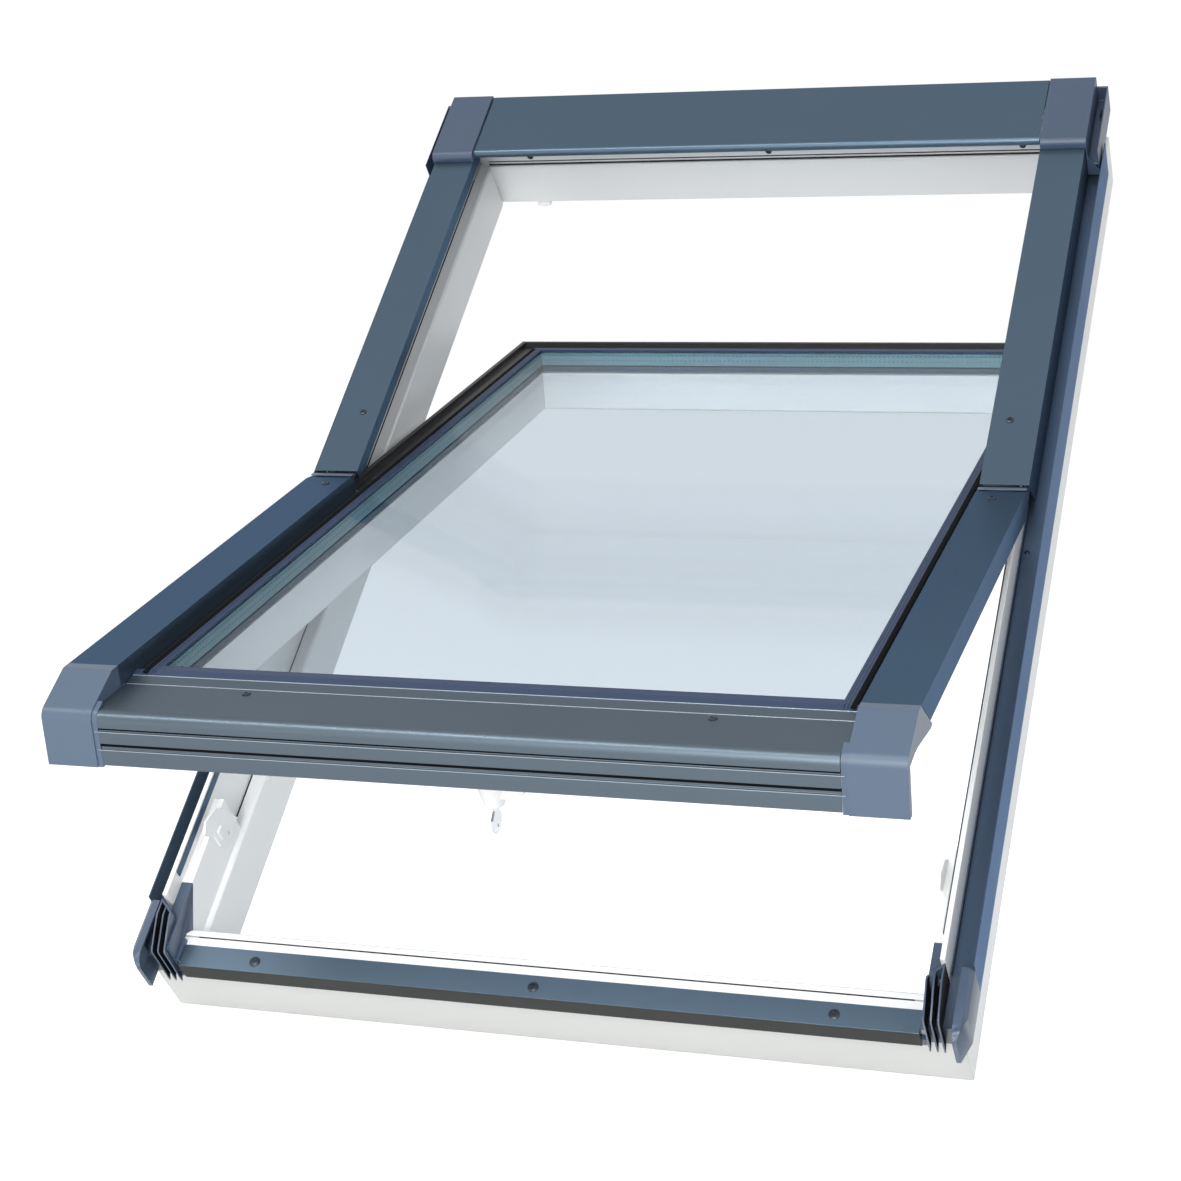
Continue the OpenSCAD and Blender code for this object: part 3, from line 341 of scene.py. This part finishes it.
finishes = {
    "white_pvc": plain_finish("white_pvc", srgb(234, 234, 233), 0.3, spread=0.01, grain=500,
                              relief=0.02),
    "grey_metal": sheet_finish("painted_sheet", srgb(79, 95, 109)),
    "grey_plastic": moulded_finish("moulded_caps", srgb(76, 91, 110), 0.38),
    "dark_plastic": moulded_finish("moulded_block", srgb(74, 88, 108), 0.32, relief=0.1),
    "white_plastic": plain_finish("white_moulding", srgb(238, 238, 237), 0.25, spread=0.01,
                                  grain=700, relief=0.02),
    "hinge_steel": plain_finish("zinc_plate", srgb(120, 124, 128), 0.3, spread=0.08, grain=500,
                                relief=0.1, metallic=0.9),
    "spacer_bar": plain_finish("spacer_bar", srgb(62, 104, 116), 0.4, spread=0.03, relief=0.03),
    "black_rubber": plain_finish("black_rubber", srgb(16, 18, 21), 0.5, spread=0.1,
                                 grain=MOULD_GRAIN, relief=0.1),
    "key_metal": plain_finish("bright_key", srgb(205, 207, 210), 0.2, spread=0.02, relief=0.02,
                              metallic=1.0),
}
print("finishes:", sorted(finishes))

# %% [markdown]
# A pane is almost invisible when it is looked through, and three of them would mirror half of
# the sky at this flat angle. The real unit is coated against that, so its glass bends light only
# a little here. The faint blue of the coating is its colour, taken three times over.

# %% Glass
COATED_GLASS_IOR = 1.07


def clear_glass():
    """Float glass with the faint blue of a coated pane."""
    material, nodes, links, shader = start_finish("clear_glass", 0.0)
    shader.inputs["Base Color"].default_value = srgb(235, 239, 242)
    shader.inputs["Transmission Weight"].default_value = 1.0
    shader.inputs["IOR"].default_value = COATED_GLASS_IOR
    return material


finishes["clear_glass"] = clear_glass()
print("glass bends light by", COATED_GLASS_IOR)

# %% [markdown]
# Some pieces need a finish of their own. Sheets of one painted aluminium that lie at different
# angles to the light look quite different, so each gets a copy in the colour that it shows there:
# painted light and painted shade. The glazing strips get a dark blue copy, which is painted shade.
# The near-black rubber, which also paints the shade in the grooves of the bottom cover, mirrors
# almost nothing, or it would turn grey at a flat angle.

# %% Finishes of single pieces
# Painted shade: a dark blue copy of the sheet for the glazing strips and the band beside the
# glass.
strip_painted_shade_finish = sheet_finish("glazing_strip", srgb(58, 70, 92), roughness=0.4, spread=0.02,
                            metallic=0.3, edge_tint=srgb(104, 126, 168))
# Painted light and shade: the two side flashings get copies in two colours, one for the near side
# and one for the far side.
near_flashing_painted_light_finish = sheet_finish("near_flashing_painted_light", srgb(90, 108, 131))
far_flashing_painted_light_finish = sheet_finish("far_flashing_painted_light", srgb(84, 101, 118), roughness=0.4,
                                   spread=0.02, metallic=0.25, edge_tint=srgb(130, 150, 176))
# Painted light: a greyer copy of the sheet for the bottom cover, in the colour it shows at its
# angle.
bottom_painted_light_finish = sheet_finish("bottom_sheet_painted_light", srgb(86, 97, 106), roughness=0.38, metallic=0.8,
                             edge_tint=srgb(205, 213, 222))
# Painted light: a lighter copy of the sheet for the sill strip.
sill_painted_light_finish = sheet_finish("sill_sheet_painted_light", srgb(96, 113, 128))
# Painted highlight: a light finish that draws the bright lines along the edges and grooves of the
# bottom cover.
painted_highlight_finish = plain_finish("painted_highlight", srgb(170, 180, 190), 0.25, spread=0.02, grain=400,
                         relief=0.02, metallic=0.6)
# Near-black rubber, which is also the painted shade in the grooves of the bottom cover.
near_black_rubber_and_shade = plain_finish("near_black_rubber_and_shade", srgb(8, 9, 11), 0.9)
near_black_rubber_and_shade.node_tree.nodes["Principled BSDF"].inputs["Specular IOR Level"].default_value = 0.1
screw_finish = plain_finish("screw_steel", srgb(66, 72, 80), 0.35, spread=0.05, grain=500,
                            metallic=0.9)
# Painted shade: the head caps face up into more light, so they get a darker copy of the cap
# moulding.
head_cap_painted_shade_finish = moulded_finish("head_moulding_painted_shade", srgb(58, 72, 93), 0.4)
inner_bar_finish = plain_finish("inner_spacer_bar", srgb(14, 48, 70), 0.4, spread=0.03,
                                relief=0.03)
# Painted shade: near black for the faces of the sill strip's flange that look down the slope.
painted_shade_flange = plain_finish("painted_shade_flange", srgb(18, 22, 20), 0.7, spread=0.05)
# Painted shade: a greyer copy of the white PVC for the front of the sill under the strip.
shaded_pvc = plain_finish("shaded_pvc", srgb(208, 209, 207), 0.35, spread=0.01, grain=500,
                          relief=0.02)
print("finishes of single pieces made")

# %% Finishes on the CAD nodes
slot_of = {row["node"]: row["material_slot"] for row in frame["record"]["subparts"]}
body_of = {node: body for body, members in frame["record"]["behaviour"]["bodies"].items()
           for node in members}
for node, slot in slot_of.items():
    part = frame["nodes"][node]
    part.data.materials.clear()
    part.data.materials.append(finishes[slot])
for node in ("outer_pane", "middle_pane", "inner_pane"):
    frame["nodes"][node].visible_shadow = False
print("dressed:", len(slot_of))

# %% [markdown]
# ## Rounded edges
# No real edge is perfectly sharp: a bent sheet, a moulding and a welded profile all have a small
# radius, and that radius catches the light as a thin bright line. The solids have sharp edges, so
# each visible node but the panes is copied, its loose triangles are merged into whole faces, and
# its edges get a bevel. The mitres between the white members become fine grooves that way, as at
# a real weld. The Weighted Normal modifier keeps the wide faces flat to look at and shades only
# the radius.

# %% Piece helpers
BEVEL_STEPS = 2
FLAT_ANGLE = 1
PIECE_SMOOTH = 40
NODE_SMOOTH = 50
SHARP_FROM = 35
SMALLEST_MERGE = 0.02


def make_piece(name, bm, body, slot, smooth_angle=PIECE_SMOOTH, finish=None):
    """Turns a bmesh into a piece that rides on a body and is smooth up to an angle."""
    mesh = bpy.data.meshes.new(name)
    bm.to_mesh(mesh)
    bm.free()
    mesh.shade_smooth()
    mesh.set_sharp_from_angle(angle=radians(smooth_angle))
    mesh.materials.append(finish or finishes[slot])
    piece = link_object(name, mesh)
    weights = piece.modifiers.new("flat_faces_first", "WEIGHTED_NORMAL")
    weights.keep_sharp = True
    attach(piece, body)
    return piece


def round_edges(node, width, merge, finish=None, adjust=None):
    """A copy of a CAD node with bevelled edges, which stands for it; lengths in millimetres.

    The shortest edge limits every bevel, so corners closer than the merge distance become one.
    """
    bm = bmesh.new()
    bm.from_mesh(frame["nodes"][node].data)
    bmesh.ops.remove_doubles(bm, verts=bm.verts, dist=merge * MM)
    bmesh.ops.dissolve_limit(bm, angle_limit=radians(FLAT_ANGLE), verts=bm.verts,
                             edges=bm.edges)
    if adjust:
        adjust(bm)
    sharp = [edge for edge in bm.edges
             if edge.is_manifold and edge.calc_face_angle(0) > radians(SHARP_FROM)]
    shortest = min(edge.calc_length() for edge in bm.edges)
    bmesh.ops.bevel(bm, geom=sharp, offset=width * MM, segments=BEVEL_STEPS, profile=0.5,
                    affect="EDGES", material=-1, clamp_overlap=True)
    piece = make_piece(node + "_rounded", bm, body_of[node], slot_of[node], NODE_SMOOTH, finish)
    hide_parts(node)
    print(node, "edges", len(sharp), "shortest", round(shortest / MM, 2), "mm",
          "faces", len(piece.data.polygons))
    return piece


print("bevels of", BEVEL_STEPS, "steps on edges sharper than", SHARP_FROM, "degrees")

# %% Radii and finishes of the rounded nodes
SIDES = ("_left", "_right")
edge_radii = {
    "frame_side": 0.7, "frame_head": 0.7, "frame_sill": 0.7, "sash_side": 0.7,
    "sash_top_rail": 0.7, "sash_bottom_rail": 0.7, "side_flashing": 0.3, "upper_cover": 0.35,
    "head_cover": 0.35, "head_cap": 0.6, "sill_strip": 0.35, "corner_block": 0.4, "catch": 0.5,
    "lower_cover": 0.35, "sash_cap": 0.6, "bottom_cover": 0.3, "glazing_strips": 0.5,
    "outer_spacer": 0.4, "inner_spacer": 0.4, "glass_seals": 0.6, "hinge_track": 0.3,
    "hinge_shoe": 0.3, "handle_rosette": 1.0, "handle_dome": 0.8, "handle_key": 0.35,
}
merge_distances = {"head_cap": 0.45, "sash_cap": 0.45, "catch": 0.45, "head_cover": 0.35,
                   "corner_block": 0.35, "upper_cover": 0.45, "handle_key": 0.3}
own_finishes = {
    "glazing_strips": strip_painted_shade_finish, "inner_spacer": inner_bar_finish, "sill_strip": sill_painted_light_finish,
    "side_flashing_left": far_flashing_painted_light_finish, "side_flashing_right": near_flashing_painted_light_finish,
    "bottom_cover": bottom_painted_light_finish, "head_cap_left": head_cap_painted_shade_finish,
    "head_cap_right": head_cap_painted_shade_finish,
}
print("kinds of rounded node:", len(edge_radii))

# %% [markdown]
# Two nodes change a little before their edges are rounded. The front lip of the head cover is
# shortened, so that the screws under it show. The bottom cover is cut along the band beside the
# glass, because the half next to the glass gets the dark finish of the glazing strips, which is
# painted shade.

# %% Rounded nodes
LIP_BELOW = 500
LIP_TRIM = 3.5
BAND_LINE = -509.5


def trim_nose(bm):
    """Shortens the front lip of the head cover."""
    back = in_roof.inverted()
    lip = [vert for vert in bm.verts
           if (back @ vert.co).y < LIP_BELOW * MM and (back @ vert.co).z < 0]
    bmesh.ops.translate(bm, verts=lip, vec=in_roof.to_3x3() @ Vector((0, 0, LIP_TRIM * MM)))


def split_band(bm):
    """Cuts the bottom cover in two along the band line, for two finishes."""
    bmesh.ops.bisect_plane(bm, geom=bm.verts[:] + bm.edges[:] + bm.faces[:],
                           plane_co=on_sash @ Vector((0, BAND_LINE * MM, 0)),
                           plane_no=on_sash.to_3x3() @ Vector((0, 1, 0)))


adjustments = {"head_cover": trim_nose, "bottom_cover": split_band}
rounded = {}
for start, radius in edge_radii.items():
    for node in sorted(frame["nodes"]):
        if node in (start, start + "_left", start + "_right"):
            rounded[node] = round_edges(node, radius, merge_distances.get(start, SMALLEST_MERGE),
                                        own_finishes.get(node), adjustments.get(node))

# %% [markdown]
# Some faces wear a second finish, and on all of them it is painted shade. The faces of the sill
# strip's flange that look down the slope are painted near black, and the front of the sill below
# it gets a greyer copy of the white, the painted shade under the strip. The upright faces between
# the fins of the corner blocks and on the inner leg of the side flashings are painted black, the
# painted shade of these deep gaps. The band of the bottom cover beside the glass takes the dark
# finish of the glazing strips.

# %% Faces with a second finish
FACING = 0.9
FIN_SHADE_ZONE = (360.5, 377)
LEG_SHADE_ZONE = (374, 376)


def refinish(node, finish, chosen):
    """Gives the faces of a rounded node that pass a test another finish."""
    mesh = rounded[node].data
    mesh.materials.append(finish)
    for face in mesh.polygons:
        if chosen(face):
            face.material_index = 1
    print(node, "faces changed:", sum(face.material_index for face in mesh.polygons))


def looks_down_slope(face):
    """True for a face at right angles to the slope that looks down it."""
    return face.normal.dot(in_roof.to_3x3() @ Vector((0, -1, 0))) > FACING


def beside_glass(face):
    """True for a face of the bottom cover on the glass side of the band line."""
    return (on_sash.inverted() @ face.center).y > BAND_LINE * MM


def side_wall(hand, zone, outward_only):
    """A test for upright faces between two distances from the middle, on one hand."""
    def chosen(face):
        outward = face.normal.x * hand
        steep = outward > FACING or (outward < -FACING and not outward_only)
        return steep and zone[0] * MM < face.center.x * hand < zone[1] * MM
    return chosen


# Painted shade on the faces that look down the slope.
refinish("sill_strip", painted_shade_flange, looks_down_slope)
refinish("frame_sill", shaded_pvc, looks_down_slope)
for hand, side in zip((-1, 1), SIDES):
    # Painted shade: black on the faces between the fins and on the inner leg of each flashing.
    refinish("corner_block" + side, finishes["black_rubber"], side_wall(hand, FIN_SHADE_ZONE, False))
    refinish("side_flashing" + side, finishes["black_rubber"], side_wall(hand, LEG_SHADE_ZONE, True))
# Painted shade: the band beside the glass takes the dark finish of the glazing strips.
refinish("bottom_cover", strip_painted_shade_finish, beside_glass)

# %% [markdown]
# ## Screws
# Cross-head screws hold the covers, the sill strip and the head's seal. One head is built from a
# grid of nine faces: the five that form a cross sink in, and the grid's rim is bridged to a
# circle that is then drawn out and down for the domed edge. The same head is placed wherever the
# photograph shows one.

# %% Screw head
SCREW_RADIUS = 3.9
SCREW_HEIGHT = 1.4
RIM_SIDES = 12
FIRST_TURN = 0.4
NEXT_TURN = 0.7
GRID_SHARE = 0.5
SLOT_SHARE = 0.13
DOME_STEPS = ((1.25, 0.38), (1.0, 0.7))


def add_screw(bm, place, radius, turn):
    """Adds one cross-head screw to a bmesh; the place is a matrix whose z points out."""
    radius = radius * MM
    height = SCREW_HEIGHT * MM
    half = radius * GRID_SHARE
    slot_half = radius * SLOT_SHARE
    made = bmesh.ops.create_grid(bm, x_segments=3, y_segments=3, size=half)["verts"]
    for vert in made:
        for axis in (0, 1):
            if abs(vert.co[axis]) < half * 0.9:
                vert.co[axis] *= 3 * slot_half / half
    faces = list({face for vert in made for face in vert.link_faces})
    cross = [face for face in faces
             if min(abs(value) for value in face.calc_center_median()[:2]) < slot_half]
    rim = [edge for edge in {edge for face in faces for edge in face.edges} if edge.is_boundary]
    ring = bmesh.ops.create_circle(bm, segments=RIM_SIDES, radius=radius * 0.8)["verts"]
    bmesh.ops.rotate(bm, verts=ring, matrix=Matrix.Rotation(pi / RIM_SIDES, 3, "Z"))
    bmesh.ops.translate(bm, verts=ring, vec=(0, 0, -height * 0.12))
    outer = list({edge for vert in ring for edge in vert.link_edges})
    bmesh.ops.bridge_loops(bm, edges=rim + outer)
    sunk = bmesh.ops.extrude_face_region(bm, geom=cross)["geom"]
    bmesh.ops.delete(bm, geom=cross, context="FACES_ONLY")
    sunk = [item for item in sunk if isinstance(item, bmesh.types.BMVert)]
    bmesh.ops.translate(bm, verts=sunk, vec=(0, 0, -height * 0.6))
    added = set(made) | set(ring) | set(sunk)
    for widen, drop in DOME_STEPS:
        grown = bmesh.ops.extrude_edge_only(bm, edges=outer)["geom"]
        ring = [item for item in grown if isinstance(item, bmesh.types.BMVert)]
        outer = [item for item in grown if isinstance(item, bmesh.types.BMEdge)]
        bmesh.ops.scale(bm, verts=ring, vec=(widen, widen, 1))
        bmesh.ops.translate(bm, verts=ring, vec=(0, 0, -height * drop))
        added |= set(ring)
    placed = place @ Matrix.Translation((0, 0, height)) @ Matrix.Rotation(turn, 4, "Z")
    bmesh.ops.transform(bm, matrix=placed, verts=list(added))


def screw_piece(name, body, places, radius=SCREW_RADIUS):
    """One piece that holds the screws at the given places."""
    bm = bmesh.new()
    for count, place in enumerate(places):
        add_screw(bm, place, radius, FIRST_TURN + NEXT_TURN * count)
    bmesh.ops.recalc_face_normals(bm, faces=bm.faces)
    piece = make_piece(name, bm, body, "hinge_steel", finish=screw_finish)
    print(name, "screws", len(places), "faces", len(piece.data.polygons))


print("screw heads have", RIM_SIDES, "sides")


# %% Screws in place
COVER_MIDDLE = 351
PLATE_SCREW_X = 209.3
HEAD_SCREW_X = 297
SILL_SCREW_X = 278
FLASHING_SCREW_X = 380
face_down = Matrix.Rotation(pi / 2, 4, "X")


def at_roof(x, y, z):
    """A place on the frame, in millimetres across, up the slope and out of the roof."""
    return in_roof @ Matrix.Translation((x * MM, y * MM, z * MM))


def at_sash(x, y, z):
    """A place on the shut sash, in the same three directions."""
    return on_sash @ Matrix.Translation((x * MM, y * MM, z * MM))


screw_piece("upper_cover_screws", "frame",
            [at_roof(side * COVER_MIDDLE, 85, 0) for side in (-1, 1)])
screw_piece("lower_cover_screws", "sash",
            [at_sash(side * COVER_MIDDLE, -37.5, 0) for side in (-1, 1)])
screw_piece("bottom_cover_screws", "sash",
            [at_sash(side * PLATE_SCREW_X, -531, -20.5) for side in (-1, 1)])
screw_piece("head_screws", "frame",
            [at_roof(x, 562, -62) @ face_down for x in (-HEAD_SCREW_X, 0, HEAD_SCREW_X)])
screw_piece("sill_screws", "frame",
            [at_roof(x, -568, -49.8) for x in (-SILL_SCREW_X, 0, SILL_SCREW_X)], radius=5.2)
screw_piece("flashing_screws", "frame",
            [at_roof(side * FLASHING_SCREW_X, -47.2, -45.8) for side in (-1, 1)], radius=2.5)

# %% [markdown]
# ## Holes of the spacers
# The bar between the outer panes is punched with two rows of tiny holes that let the drying powder
# work. They are hundreds, so each is a flat black disc of six sides just proud of the bar, and its
# black is the painted shade inside the hole.

# %% Spacer holes
HOLE_PITCH = 5.5
HOLE_RADIUS = 1.0
HOLE_SIDES = 6
HOLE_ROWS = (-24.2, -30.5)
SPACER_X = 309.8
SPACER_TOP = 527.65
SPACER_BOTTOM = -491.45


def add_hole_row(bm, start, step, count, turn):
    """Adds a row of flat discs to a bmesh, from a place on the shut sash."""
    for index in range(count):
        made = bmesh.ops.create_circle(bm, cap_ends=True, segments=HOLE_SIDES,
                                       radius=HOLE_RADIUS * MM)
        x, y, z = Vector(start) + index * Vector(step)
        bmesh.ops.transform(bm, matrix=at_sash(x, y, z) @ turn, verts=made["verts"])


bm = bmesh.new()
side_count = int((SPACER_TOP - SPACER_BOTTOM) / HOLE_PITCH) - 1
end_count = int(2 * SPACER_X / HOLE_PITCH) - 1
for row in HOLE_ROWS:
    for side in (-1, 1):
        add_hole_row(bm, (side * SPACER_X, SPACER_BOTTOM + HOLE_PITCH, row),
                     (0, HOLE_PITCH, 0), side_count, Matrix.Rotation(-side * pi / 2, 4, "Y"))
    for end, y in ((-1, SPACER_BOTTOM), (1, SPACER_TOP)):
        add_hole_row(bm, (HOLE_PITCH - SPACER_X, y, row),
                     (HOLE_PITCH, 0, 0), end_count, Matrix.Rotation(end * pi / 2, 4, "X"))
# Painted shade: the holes are black discs.
holes = make_piece("spacer_holes", bm, "sash", "black_rubber")
print("holes:", len(holes.data.polygons))

# %% [markdown]
# ## Gaskets and small mouldings
# Rubber strips lie in the grooves of the head and beside the glass, and a small white tab hangs
# under the head. Near-black bars paint the shade in the grooves of the bottom cover, and thin
# light bars paint highlights along its folds and grooves. The raised lines along the glazing
# strips are partly painted highlight. Each is a bar with rounded edges, set down by two corners in
# the window's own directions and in millimetres. A piece can hold its bars on both sides of the
# window, and then only the right-hand ones are listed.

# %% Bars
axes_of = {"frame": in_roof, "sash": on_sash}


def add_bar(bm, axes, low, high, radius):
    """Adds a bar with rounded edges between two corners, in millimetres, to a bmesh."""
    made = bmesh.ops.create_cube(bm, size=MM)["verts"]
    bmesh.ops.scale(bm, verts=made, vec=Vector(high) - Vector(low))
    bmesh.ops.translate(bm, verts=made, vec=(Vector(high) + Vector(low)) / 2 * MM)
    edges = list({edge for vert in made for edge in vert.link_edges})
    done = bmesh.ops.bevel(bm, geom=edges, offset=radius * MM, segments=BEVEL_STEPS,
                           profile=0.5, affect="EDGES", material=-1, clamp_overlap=True)
    verts = list({vert for face in done["faces"] for vert in face.verts})
    bmesh.ops.transform(bm, matrix=axes, verts=verts)


def bar_piece(name, body, slot, bars, both_sides=False, finish=None):
    """One piece of bars, each given by its low corner, its high corner and its edge radius."""
    bm = bmesh.new()
    for low, high, radius in bars:
        if both_sides:
            add_bar(bm, axes_of[body], (-high[0], *low[1:]), (-low[0], *high[1:]), radius)
        add_bar(bm, axes_of[body], low, high, radius)
    make_piece(name, bm, body, slot, finish=finish)
    print(name, "bars:", len(bars) * (1 + both_sides))


# %% Head gaskets and tab
bar_piece("head_gaskets", "frame", "black_rubber",
          [((-353, 562.4, -70.3), (353, 563.9, -68.7), 0.3),
           ((-354, 563.4, -76.6), (354, 564.9, -72.9), 0.3)])
bar_piece("head_tab", "frame", "white_plastic",
          [((-309.5, 565, -145), (-292.5, 572, -140.9), 1.2),
           ((-304.5, 566.5, -146.5), (-297.5, 570.5, -144.5), 0.8)])

# %% Painted shade and painted highlights of the bottom cover
# Painted shade: near-black bars lie in the grooves of the bottom cover, where shade falls.
bar_piece("groove_painted_shade", "sash", "black_rubber",
          [((-330, -585.9, -36.4), (330, -585.3, -34.6), 0.15),
           ((-330, -585.9, -52), (330, -585.3, -49.1), 0.15)], finish=near_black_rubber_and_shade)
# Painted highlights: thin light bars along the band's edges and under each groove of the bottom
# cover.
bar_piece("bottom_band_painted_highlights", "sash", "grey_metal",
          [((-330.5, -510, -17.9), (330.5, -509, -17.2), 0.25),
           ((-330.5, -522.6, -20.6), (330.5, -521.6, -20.1), 0.2),
           ((-330, -587.3, -38.3), (330, -586.4, -37.8), 0.15),
           ((-330, -587.3, -55.3), (330, -586.4, -54.8), 0.15)], finish=painted_highlight_finish)

# %% Seals and lines along the glazing strips, and tips of the lower covers
bar_piece("strip_seals", "sash", "black_rubber",
          [((317.6, -508, -15.6), (322, 530, -14.9), 0.2)], True, near_black_rubber_and_shade)
# Raised lines in the lighter flashing finish: partly painted highlight along the glazing strips.
bar_piece("strip_painted_highlight_lines", "sash", "grey_metal",
          [((311.2, -506, -15.6), (311.8, 530, -15.1), 0.15),
           ((314.2, -506, -15.6), (314.8, 530, -15.1), 0.15)], True, near_flashing_painted_light_finish)
bar_piece("lower_cover_tips", "sash", "grey_plastic",
          [((332.5, -11.5, -0.4), (380, -5.6, 0.5), 0.3)], True)

# %% Frame gaskets and strips
bar_piece("frame_gaskets", "frame", "black_rubber",
          [((-345, -547, -53.8), (345, -545.5, -51.5), 0.3),
           ((-369.4, -479, -83.5), (-367.7, 540, -78.8), 0.3),
           ((367.7, -479, -83.5), (369.4, 540, -78.8), 0.3)])
bar_piece("rib_strips", "frame", "grey_metal",
          [((368, -501, -18.5), (369.4, -95, -10.5), 0.5)], True)

# %% [markdown]
# A black flap stands in the running gap between the two covers at the pivot. It hangs on the
# frame, and the end of the lower cover turns up and away from it.

# %% Pivot flaps
bar_piece("pivot_flaps", "frame", "black_rubber",
          [((334, -4, -6), (378, 0.5, -3), 0.4)], True)
